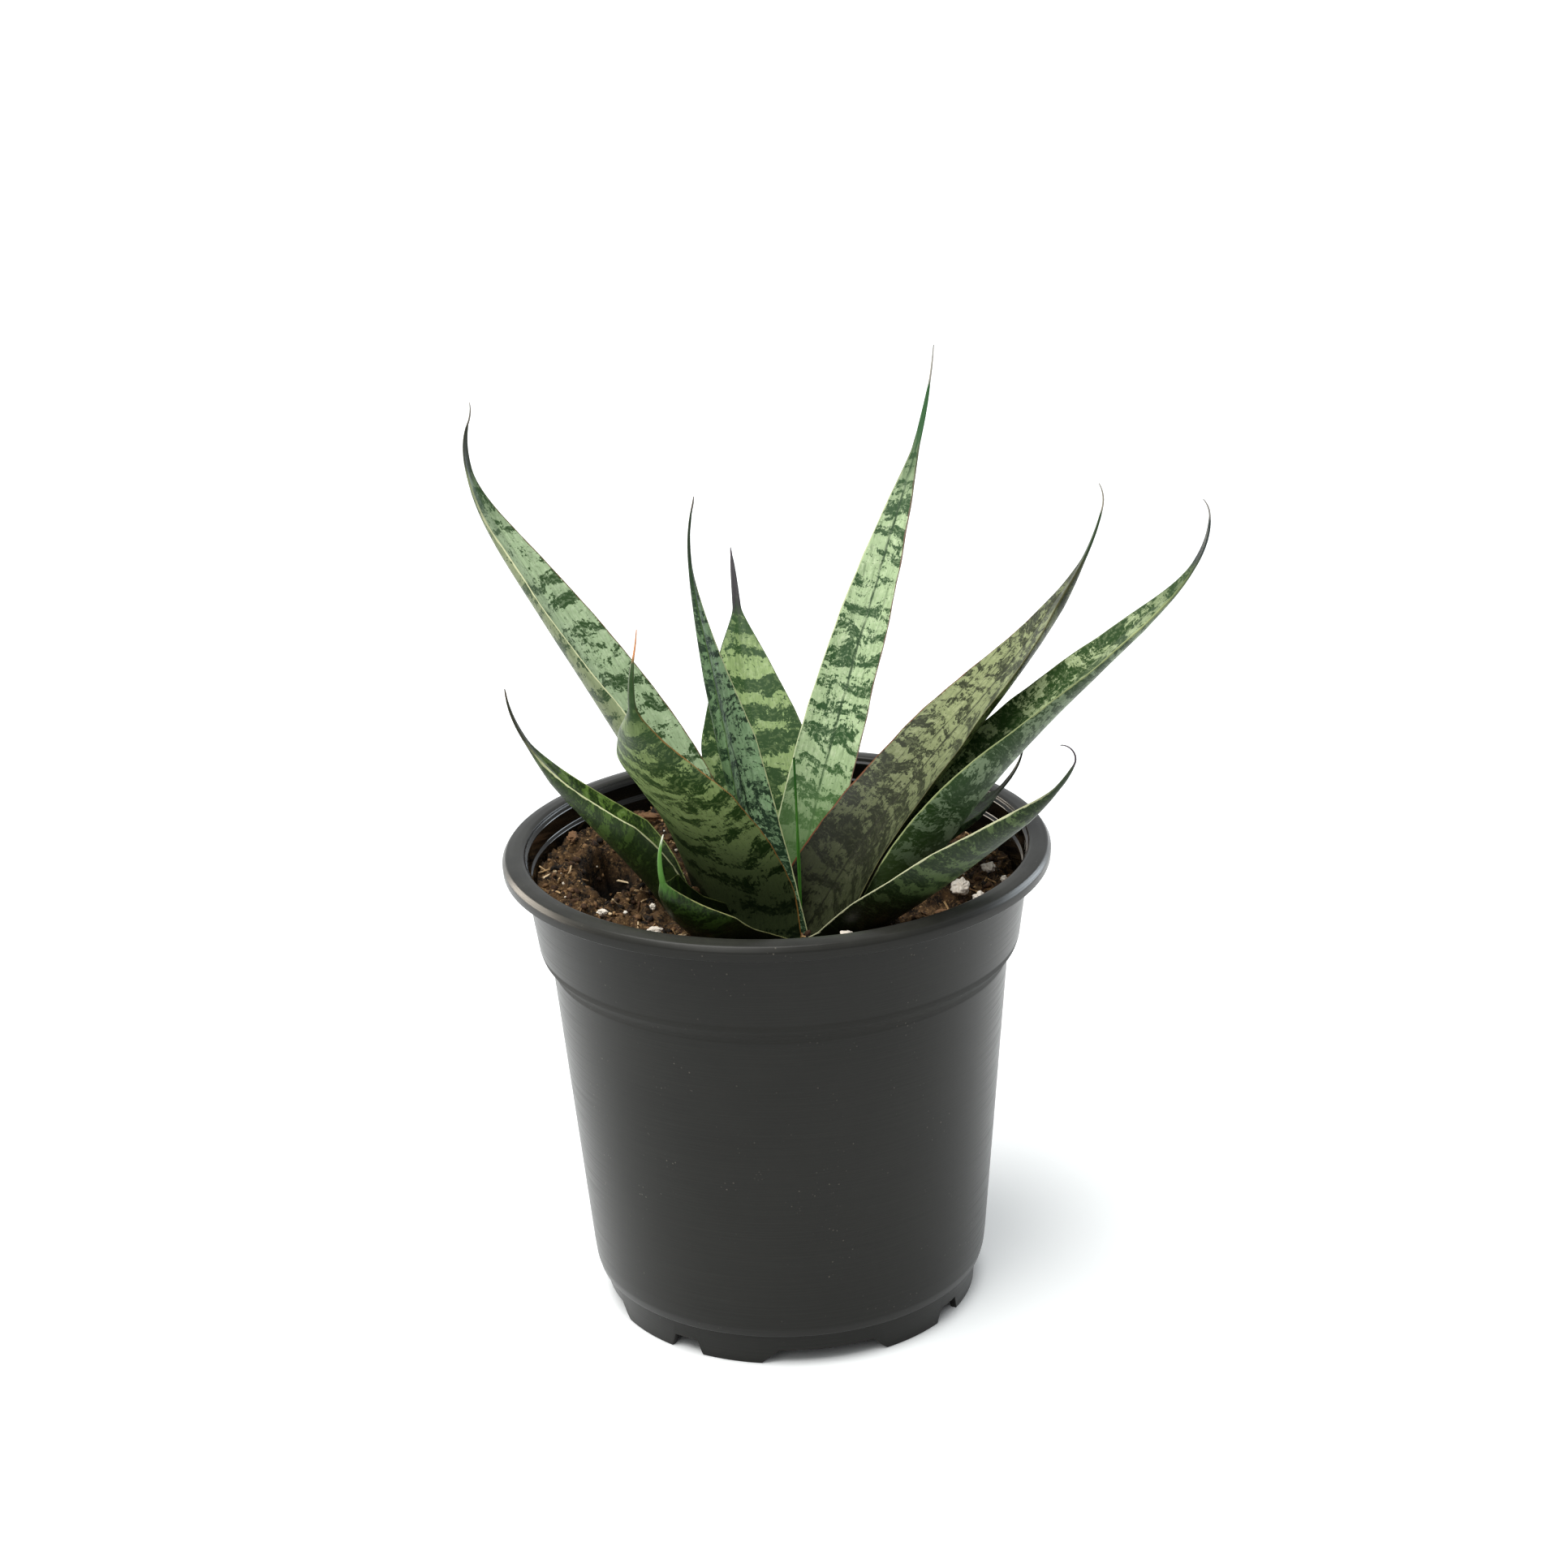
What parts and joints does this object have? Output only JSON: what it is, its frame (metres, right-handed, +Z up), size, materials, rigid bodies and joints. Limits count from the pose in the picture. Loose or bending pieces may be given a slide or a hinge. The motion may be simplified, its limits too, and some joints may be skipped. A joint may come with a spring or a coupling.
{
  "type": "potted snake plant",
  "caption": "Young snake plant in a round nursery pot: a rosette of stiff banded channelled leaves with dry needle tips, in dark potting mix with perlite and bark.",
  "frame": {"origin": "on the ground, under the middle of the whole plant's outline; the pot's axis is 12.6 mm from it towards -X", "axes": "+Z up along the pot's axis, -Y towards the side with the two front leaves, +X to the right of that side"},
  "size_m": [0.1398, 0.105, 0.1768],
  "materials": {
    "pot_plastic": "satin",
    "potting_mix": "matte",
    "leaf": "satin",
    "perlite": "matte",
    "bark": "matte"
  },
  "bodies": {
    "root": {"nursery_pot": "pot_plastic", "potting_mix": "potting_mix", "leaf_tall_left": "leaf", "leaf_front_left": "leaf", "leaf_low_left": "leaf", "leaf_short_front": "leaf", "leaf_thin_back_left": "leaf", "leaf_broad_back": "leaf", "leaf_tall_centre": "leaf", "leaf_back_right": "leaf", "leaf_long_right": "leaf", "leaf_low_right": "leaf", "leaf_centre_spear": "leaf", "leaf_low_back_right": "leaf", "perlite_1": "perlite", "perlite_2": "perlite", "perlite_3": "perlite", "perlite_4": "perlite", "perlite_5": "perlite", "perlite_6": "perlite", "perlite_7": "perlite", "perlite_8": "perlite", "bark_1": "bark", "bark_2": "bark", "bark_3": "bark", "bark_4": "bark", "bark_5": "bark"}
  },
  "joints": []
}
